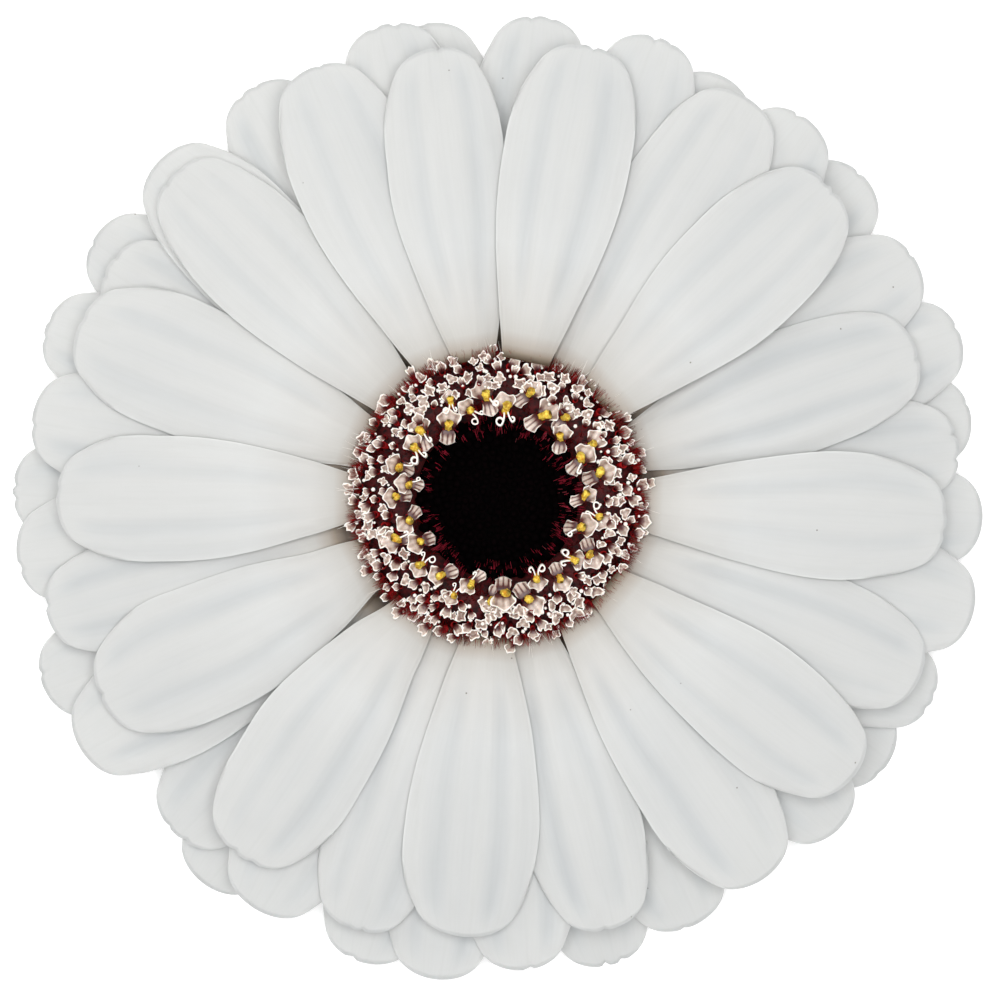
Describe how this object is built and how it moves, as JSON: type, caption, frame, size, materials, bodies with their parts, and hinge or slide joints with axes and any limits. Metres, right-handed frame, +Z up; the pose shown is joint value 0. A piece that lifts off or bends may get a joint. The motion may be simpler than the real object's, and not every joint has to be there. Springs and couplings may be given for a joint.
{
  "type": "cut gerbera",
  "caption": "Open bloom of a white gerbera with overlapping whorls of petals round a dark-hearted disc, lying face up on its short cut stem.",
  "frame": {"origin": "under the middle of the bloom, on the surface that it lies on", "axes": "+Z up, out of the open face of the bloom; +X and +Y lie in the surface"},
  "size_m": [0.11, 0.109, 0.022],
  "materials": {
    "petal": "white ray petal, satin and slightly translucent, with fine veins along it",
    "disc_floret": "blush-white disc florets with yellow anthers among maroon bristles",
    "disc_heart": "near-black maroon buds and bristles, matt",
    "receptacle": "pale green flower base, matt",
    "bract": "downy green bracts, matt",
    "stem": "green stem with short hairs, freshly cut"
  },
  "bodies": {
    "root": {"stem": "stem", "receptacle": "receptacle", "involucre": "bract", "disc_heart": "disc_heart", "open_disc_florets": "disc_floret", "outer_disc_florets": "disc_floret", "lower_petal_01": "petal", "lower_petal_02": "petal", "lower_petal_03": "petal", "lower_petal_04": "petal", "lower_petal_05": "petal", "lower_petal_06": "petal", "lower_petal_07": "petal", "lower_petal_08": "petal", "lower_petal_09": "petal", "lower_petal_10": "petal", "lower_petal_11": "petal", "lower_petal_12": "petal", "lower_petal_13": "petal", "lower_petal_14": "petal", "lower_petal_15": "petal", "middle_petal_01": "petal", "middle_petal_02": "petal", "middle_petal_03": "petal", "middle_petal_04": "petal", "middle_petal_05": "petal", "middle_petal_06": "petal", "middle_petal_07": "petal", "middle_petal_08": "petal", "middle_petal_09": "petal", "middle_petal_10": "petal", "middle_petal_11": "petal", "middle_petal_12": "petal", "middle_petal_13": "petal", "middle_petal_14": "petal", "middle_petal_15": "petal", "middle_petal_16": "petal", "middle_petal_17": "petal", "middle_petal_18": "petal", "middle_petal_19": "petal", "middle_petal_20": "petal", "upper_petal_01": "petal", "upper_petal_02": "petal", "upper_petal_03": "petal", "upper_petal_04": "petal", "upper_petal_05": "petal", "upper_petal_06": "petal", "upper_petal_07": "petal", "upper_petal_08": "petal", "upper_petal_09": "petal", "upper_petal_10": "petal", "upper_petal_11": "petal", "upper_petal_12": "petal", "upper_petal_13": "petal", "upper_petal_14": "petal", "upper_petal_15": "petal", "upper_petal_16": "petal", "upper_petal_17": "petal", "upper_petal_18": "petal"}
  },
  "joints": []
}
